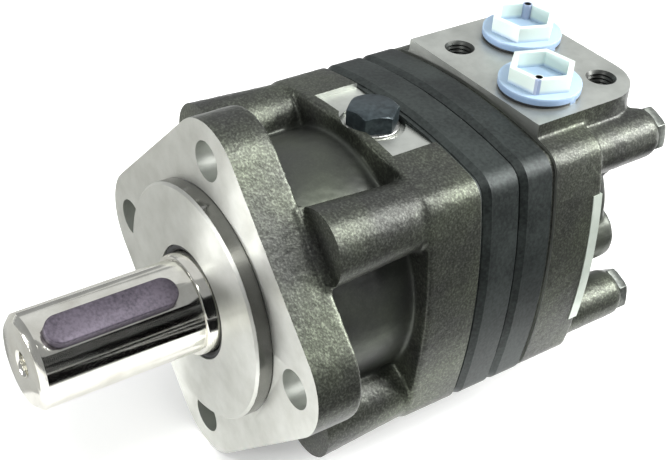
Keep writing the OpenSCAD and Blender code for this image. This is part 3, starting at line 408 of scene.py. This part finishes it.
def plate_block(name, front, rear, finish, inset=0.0):
    """A block with the outline of the stack, from front to rear in mm, its sides set in by a little."""
    side_r, side_at = 200 - inset, 148.8  # radius of a side, and the place of its centre
    tip_r, tip_at = 9 - inset, 38.32  # the same for a corner
    corner_line = 87.27 - 1.18 * inset  # x and z added up, on the line that cuts a corner off
    piece = box(name, (-60, front, -60), (60, rear, 60), finish)
    for x, z in SIDES:
        rings = [(front - 5, side_r), (rear + 5, side_r)]
        boolean(piece, turned("disc", rings, finish, (x * side_at, z * side_at), around=720), "INTERSECT")
    half = corner_line / math.sqrt(2)
    tips = box("tips", (-half, front - 5, -half), (half, rear + 5, half), finish, turn=45)
    for x, z in ((-1, -1), (-1, 1), (1, -1), (1, 1)):
        rings = [(front - 4, tip_r), (rear + 4, tip_r)]
        boolean(tips, turned("tip", rings, finish, (x * tip_at, z * tip_at), around=72), "UNION")
    return boolean(piece, tips, "INTERSECT")


# %% [markdown]
# ## The front housing, rough
# The casting is a square flange with round corners, a barrel, four ridges that carry the long screws and a
# block that meets the stack. The rough shapes overlap and have spare iron at the front, as a real casting has
# where it will be machined. The ridges get thinner towards the stack.

# %% Edge helpers
def pick_edges(piece, wanted):
    """Leaves the piece in edit mode with the edges selected that wanted(a, b) names, a and b in mm."""
    alone(piece)
    bpy.ops.object.mode_set(mode="EDIT")
    bpy.ops.mesh.select_mode(type="EDGE")
    bpy.ops.mesh.select_all(action="DESELECT")
    bpy.ops.object.mode_set(mode="OBJECT")
    for edge in piece.data.edges:
        edge.select = bool(wanted(*(piece.data.vertices[v].co / MM for v in edge.vertices)))
    bpy.ops.object.mode_set(mode="EDIT")


def bevel_picked(width, segments):
    """Bevels the picked edges by a width in mm and leaves edit mode."""
    bpy.ops.mesh.bevel(offset=width * MM, offset_type="OFFSET", segments=segments, affect="EDGES",
                       clamp_overlap=False)
    bpy.ops.object.mode_set(mode="OBJECT")


# %% Front housing blanks
SCREWS = [(x, z) for x in (-36, 36) for z in (-36, 36)]


def flange_block(name, half, front, rear):
    """A square that stands on its corner and has round corners, from front to rear in mm."""
    block = box(name, (-half, front, -half), (half, rear, half), cast_iron, turn=45)
    pick_edges(block, lambda a, b: abs(a.y - b.y) > 10)
    bevel_picked(21, 16)
    return block


flange = flange_block("flange", 53, -3, 16.5)
barrel = turned("barrel", [(8, 44.5), (70, 44.5)], cast_iron)
ridges = [turned("ridge", [(15, 13.4), (72.5, 10.4)], cast_iron, at, around=48) for at in SCREWS]
rear_block = plate_block("rear block", 52.3, 76, cast_iron)
blanks = [flange, barrel, rear_block, *ridges]
print("front housing starts as", len(blanks), "shapes")

# %% [markdown]
# ## Run the shapes together
# A foundry pattern has no sharp inner corner, because iron would crack there. The shapes are turned into one
# skin of small squares, and smoothing then rounds every corner by about two millimetres. A weak
# displacement makes the flats slightly uneven, as sand does. Bevels on such crossings would tear.

# %% Casting helper
sand = bpy.data.textures.new("sand", "CLOUDS")
sand.noise_scale, sand.noise_depth = 2.6 * MM, 2


def run_together(name, pieces):
    """Joins pieces into one object."""
    alone(pieces[0])
    for piece in pieces:
        piece.select_set(True)
    if len(pieces) > 1:
        bpy.ops.object.join()
    pieces[0].name = name
    return pieces[0]


def cast(name, pieces, square=0.85, passes=14, uneven=0.22):
    """One skin from overlapping shapes: square size and unevenness in mm."""
    piece = run_together(name, pieces)
    piece.data.remesh_voxel_size = square * MM
    bpy.ops.object.voxel_remesh()
    smooth = piece.modifiers.new("smooth", "SMOOTH")
    smooth.iterations, smooth.factor = passes, 0.5
    bpy.ops.object.modifier_apply(modifier=smooth.name)
    rough = piece.modifiers.new("rough", "DISPLACE")
    rough.texture, rough.texture_coords, rough.strength, rough.mid_level = sand, "LOCAL", uneven * MM, 0.6
    bpy.ops.object.modifier_apply(modifier=rough.name)
    return piece


front = cast("front_housing_casting", blanks)
print("front casting has", len(front.data.polygons), "faces")

# %% [markdown]
# ## The front housing, machined
# Now the lathe and the mill do their work. Each cutter carries its own finish, so the new faces are pale while
# the skin stays dark. The ridges are cut off flat behind the flange, and the pilot is added as a crisp shape.

# %% Front housing faces
FAR = 80  # mm from the shaft axis, outside every casting
pilot_r, groove_r, ridges_from, front_seam, seam_bevel = 41.25, 40.9, 17.7, 73.5, 0.4
boolean(front, box("front stock", (-FAR, -20, -FAR), (FAR, 0, FAR), turned_iron), "DIFFERENCE")
ends = box("ridge ends", (-FAR, 10, -FAR), (FAR, ridges_from, FAR), cast_iron)
boolean(ends, flange_block("inner", 53.4, 5, 30), "DIFFERENCE")
boolean(front, ends, "DIFFERENCE")
# The side of the pilot takes the darkened finish, a painted dark reflection.
side = [(-5.4, 41), (-5.1, pilot_r), (-0.9, pilot_r), (-0.7, groove_r), (-0.2, groove_r), (0.0, pilot_r),
        (3, pilot_r)]
boolean(front, turned("pilot", side, pilot_iron_painted_dark, around=180), "UNION")
face = [(-6, 40.45), (-5.2, pilot_r), (-5.0, pilot_r)]
boolean(front, turned("pilot face", face, turned_iron, around=180), "UNION")
seam_stock = box("seam stock", (-FAR, front_seam - seam_bevel, -FAR), (FAR, 90, FAR), machined_iron)
kept = plate_block("kept", 60, front_seam, machined_iron)
pick_edges(kept, lambda a, b: min(a.y, b.y) > 73)
bevel_picked(seam_bevel, 1)
boolean(seam_stock, kept, "DIFFERENCE")
boolean(front, seam_stock, "DIFFERENCE")
print("front housing faces:", len(front.data.polygons), "faces")

# %% Front housing bores
def drill(piece, name, rings, finish, places, upright=False, around=48):
    """Cuts the same turned shape out of a piece at several places."""
    cutters = [turned(name, rings, finish, at, upright, around) for at in places]
    boolean(piece, run_together(name, cutters), "DIFFERENCE")


steps = [(-9, 20), (-2, 20), (-2, 18.5), (1, 18.5), (1, 26), (10, 26), (10, 31), (27, 31), (27, 34), (51, 34),
         (51, 40), (75, 40)]
drill(front, "bore", steps, machined_iron, [(0, 0)], around=128)
bolt_circle_r = 53.2
fixings = [(x * bolt_circle_r, z * bolt_circle_r) for x, z in SIDES]
drill(front, "fixing hole", [(-1, 6.75), (20, 6.75)], machined_iron, fixings, around=64)
drill(front, "tapped hole", [(51.5, 5), (75, 5)], machined_iron, SCREWS)
print("front housing with its bores:", len(front.data.polygons), "faces")

# %% [markdown]
# ## The drain pad
# On top of the rear block a flat pad is milled for the drain plug, down through the cast skin, so its outline
# shows where the bulged top is deep enough. A round spot face sits in it, and a thin rim stays in front.

# %% Drain pad
boolean(front, box("pad", (-22.3, 55.6, 48), (22.3, 76, 60), machined_iron), "DIFFERENCE")
drain = [(0, 63.8)]
drill(front, "spot face", [(46.8, 11.34), (60, 11.34)], machined_iron, drain, upright=True, around=96)
drill(front, "drain bore", [(38, 6.6), (50, 6.6)], machined_iron, drain, upright=True, around=96)
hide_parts("front_housing")
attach(front, "housing")
print("front housing done:", len(front.data.polygons), "faces")

# %% [markdown]
# ## The rear housing, rough
# Behind the stack a plate with the same outline carries four screw bosses, a round valve body, two check
# valve bosses and, on top, the block with the oil ports. The bosses end in round shoulders.

# %% Rear housing blanks
seam, plate_rear, top = 105.0, 127.6, 53
CHECKS = [(-25.5, -11), (25.5, -11)]
plate = plate_block("plate", seam - 3, plate_rear - 0.2, cast_iron, inset=0.3)
boss = [(seam + 4, 9.2), (155.4, 9.2), (157, 8.6), (159, 7.4)]
bosses = [turned("boss", boss, cast_iron, at, around=64) for at in SCREWS]
body = turned("valve body", [(seam + 4, 33), (150.5, 33), (152, 31.5)], cast_iron)
check_boss = [(seam + 4, 11.5), (154, 11.5), (155, 10.5)]
check_bosses = [turned("check boss", check_boss, cast_iron, at, around=64) for at in CHECKS]
port_block = box("port block", (-35, seam - 3, 20), (35, 159.2, top + 3), cast_iron)
pick_edges(port_block, lambda a, b: abs(a.z - b.z) > 10 and a.y > seam + 50)
bevel_picked(18, 12)
rear = cast("valve_housing_casting", [plate, body, port_block, *bosses, *check_bosses])
print("rear casting has", len(rear.data.polygons), "faces")

# %% [markdown]
# ## The rear housing, machined
# The port face is milled flat and a shallow step is cut at the seam. On both sides the rear rim of the plate
# was left smooth and pale, so a thin band of another finish is added there. A painted mask could do that too,
# but a band of its own ends in a crisp line.

# %% Rear housing faces
rim_half, rim_from = 27, 47.5
boolean(rear, box("port stock", (-60, 90, top), (60, 180, FAR), machined_iron), "DIFFERENCE")
boolean(rear, box("seam stock", (-FAR, 90, -FAR), (FAR, seam + 1.2, FAR), machined_iron), "DIFFERENCE")
boolean(rear, plate_block("seam step", seam, seam + 9, cast_iron, inset=1.5), "UNION")
band = plate_block("smooth edge", seam + 18.6, plate_rear, smooth_iron, inset=0.05)
boolean(band, box("sides", (-FAR, 90, -rim_half), (FAR, 140, rim_half), smooth_iron), "INTERSECT")
boolean(band, box("middle", (-rim_from, 90, -60), (rim_from, 140, 60), smooth_iron), "DIFFERENCE")
boolean(rear, band, "UNION")
print("rear housing faces:", len(rear.data.polygons), "faces")

# %% [markdown]
# ## Ports, threads and bores
# The ports and the two fixing holes are drilled and threaded, and the bosses are bored for the long screws. A
# thread could be a real helix, but rings look the same at this size.

# %% Rear housing bores
def thread(bottom, radius, pitch, depth):
    """Rings for a threaded hole in the port face, from its bevelled mouth down to a bottom."""
    z = top - 0.9 * depth
    rings = [(top + 2, radius + depth + 2), (z, radius)]
    z -= pitch
    while z > bottom + pitch:
        rings += [(z + pitch / 2, radius - depth), (z, radius)]
        z -= pitch
    return rings + [(bottom, radius - depth)]


chamber = [(100, 31), (115.08, 31), (115.08, 28.48), (124.58, 28.48)]
drill(rear, "valve chamber", chamber, machined_iron, [(0, 0)], around=128)
# The ports and the fixing threads take the darkened bore finish, which is painted shade inside the holes.
drill(rear, "port", thread(36, 10.2, 1.8, 0.7), bore_iron_painted_dark, [(16, 123), (-16, 143)], upright=True, around=96)
drill(rear, "fixing thread", thread(38, 5, 1.5, 0.5), bore_iron_painted_dark, [(-21, 118), (21, 148)], upright=True)
drill(rear, "screw seat", [(157.4, 10.5), (170, 10.5)], machined_iron, SCREWS)
drill(rear, "screw hole", [(100, 5.5), (165, 5.5)], machined_iron, SCREWS)
drill(rear, "check bore", [(123, 3), (127.58, 3), (127.58, 6), (165, 6)], machined_iron, CHECKS, around=64)
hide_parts("valve_housing")
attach(rear, "housing")
print("rear housing done:", len(rear.data.polygons), "faces")

# %% [markdown]
# ## Smooth skins, crisp edges
# The skin should shade as one soft surface, while the machined borders stay sharp. Smooth shading by angle
# does both: it softens every edge flatter than a limit.

# %% Shading the castings
for piece in (front, rear):
    alone(piece)
    bpy.ops.object.shade_smooth_by_angle(angle=math.radians(38))
    print(piece.name, "materials:", [m.name for m in piece.data.materials])

# %% [markdown]
# ## Finishes for the other pieces
# Plates, shaft, key, caps and fasteners keep their engineering meshes. They get their finish, and those that
# show also get a small live bevel, because no real edge is perfectly sharp and the bright line on a bevelled
# edge is what tells the eye that it is steel. The loose triangles are welded and merged to clean faces first.

# %% Finishes by node
groups = (
    (cast_iron, "front_housing valve_housing"),
    (ground_steel, "output_shaft"),
    (bar_stock, "shaft_key"),
    (phosphated, "gear_ring channel_plate"),
    (screw_steel, "body_screws"),
    (blackened, "drain_plug"),
    (washer_metal, "drain_washer"),
    (cap_plastic, "port_cap_front port_cap_rear"),
    (rubber, "cap_ring_front cap_ring_rear dust_seal shaft_seal"),
    (rubber, "housing_o_ring ring_o_ring plate_o_ring balance_o_ring"),
    (cage_brass, "front_bearing_cage rear_bearing_cage"),
    (turned_steel, "cardan_shaft valve_drive drive_spacer balance_spring balance_pins check_springs check_plugs"),
)
finish_of = {name: finish for finish, names in groups for name in names.split()}
for name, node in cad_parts.items():
    for slot in node.material_slots:
        slot.material = finish_of.get(name, bearing_steel)
print("finishes given to", len(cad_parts), "nodes, named here", len(finish_of))

# %% Small bevels
widths = (
    (0.5, "shaft_key"),
    (0.4, "gear_ring channel_plate"),
    (0.35, "port_cap_front port_cap_rear"),
    (0.3, "body_screws drain_plug drain_washer"),
    (0.25, "output_shaft"),
    (0.2, "cap_ring_front cap_ring_rear dust_seal"),
)
bevels = {name: width for width, names in widths for name in names.split()}
for name, width in bevels.items():
    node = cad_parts[name]
    weld = node.modifiers.new("weld", "WELD")
    weld.merge_threshold = 0.002 * MM
    clean = node.modifiers.new("clean", "DECIMATE")
    clean.decimate_type, clean.angle_limit = "DISSOLVE", math.radians(0.5)
    soft = node.modifiers.new("soft", "BEVEL")
    soft.width, soft.segments, soft.limit_method, soft.angle_limit = width * MM, 2, "ANGLE", math.radians(35)
    soft.harden_normals = True
    if name in ("gear_ring", "channel_plate"):
        crisp = node.modifiers.new("crisp", "EDGE_SPLIT")
        crisp.split_angle = math.radians(16)
    for face in node.data.polygons:
        face.use_smooth = True
print("bevels on", len(bevels), "nodes")

# %% [markdown]
# ## Studio
# The motor stands on a pale floor that runs out of the picture. A key lamp high behind gives the glints along
# the ridges, a back lamp lights the rear bosses, a front lamp makes the bright sector on the flange face, and a
# very large lamp above fills the tops. A ring of lamps would be simpler, but it would leave no dark side.

# %% Floor
floor_finish, tree, shader, place = begin("floor_painted_white", Roughness=0.7, Emission_Color=colour("F4F4F3"),
                                          Emission_Strength=0.35)
dust = add(tree, "ShaderNodeTexNoise", {"Vector": place, "Scale": 1 / 0.25, "Detail": 2}).outputs[0]
tone = set_stops(add(tree, "ShaderNodeValToRGB", {0: dust}), (0.3, "F0F0EF"), (0.7, "F8F8F7"))
join_up(tree, shader, Base_Color=tone)
alone()
floor_z = cad_box[0].z
bpy.ops.mesh.primitive_plane_add(size=8, location=(0, 0, floor_z))
floor = settle("floor", floor_finish)
print("floor at", round(floor_z / MM, 1), "mm")


# %% Lamps
def soft_lamp(name, place, towards, size, power):
    """A square soft lamp: its place, what it looks at and its size in metres, its power in watts."""
    lamp = bpy.data.objects.new(name, bpy.data.lights.new(name, "AREA"))
    lamp.data.size, lamp.data.energy = size, power
    lamp.location = place
    lamp.rotation_mode = "QUATERNION"
    lamp.rotation_quaternion = (Vector(towards) - Vector(place)).to_track_quat("-Z", "Y")
    bpy.context.scene.collection.objects.link(lamp)


soft_lamp("key_lamp", (0.43, 0.55, 1.0), (0, 0.03, 0), 0.34, 10)
soft_lamp("back_lamp", (0.43, 0.8, 0.42), (0, 0.1, 0), 0.3, 11)
soft_lamp("near_lamp", (0.22, -0.27, 0.51), (0, 0, 0), 0.1, 1.0)
soft_lamp("front_lamp", (-0.38, -1.02, 0.1), (0, 0, 0), 0.3, 11)
soft_lamp("top_lamp", (-0.6, 0.2, 1.2), (0, 0.05, 0), 2.0, 5.6)
print("lamps are lit")

# %% [markdown]
# ## Cards for the reflections
# Bright metal shows what stands around it. Photographers put up black and grey cards, and so does this scene:
# black ones to the right give the dark bands on shaft and pilot, and a grey one tones the flange face down.
# Only reflections can see them, so they throw no shadow and stay out of the picture.


# %% Cards and room
def card(name, centre, turn, width, height, finish, lying=False):
    """A card that only reflections can see, its place and size in metres."""
    alone()
    tilt = 0 if lying else math.pi / 2
    bpy.ops.mesh.primitive_plane_add(size=1, location=centre, rotation=(tilt, 0, math.radians(turn)))
    bpy.context.object.scale = (width, height, 1)
    made = settle(name, finish)
    made.visible_camera = made.visible_diffuse = made.visible_shadow = made.visible_transmission = False


card_black = begin("card_black", Roughness=0.9, Base_Color=colour("040404"), Specular_IOR_Level=0.0)[0]
card_grey = begin("card_grey", Roughness=0.9, Base_Color=colour("BCBCB9"), Specular_IOR_Level=0.0)[0]
on_floor = floor_z + 2 * MM
card("standing_card", (0.75, 0.32, 0.36), 113, 0.8, 0.84, card_black)
card("front_card", (0.75, -0.42, 0.36), 61, 0.8, 0.84, card_black)
card("lying_card", (0.427, 0.08, on_floor), 10, 0.66, 0.7, card_black, lying=True)
card("left_card", (-0.4, -0.25, on_floor), 0, 0.7, 0.8, card_grey, lying=True)
room = bpy.data.worlds.new("room")
room.use_nodes = True
walls = room.node_tree.nodes["Background"]
walls.inputs["Color"].default_value = colour("C8CACC")
walls.inputs["Strength"].default_value = 0.7
bpy.context.scene.world = room
bpy.context.scene.view_settings.view_transform = "Standard"
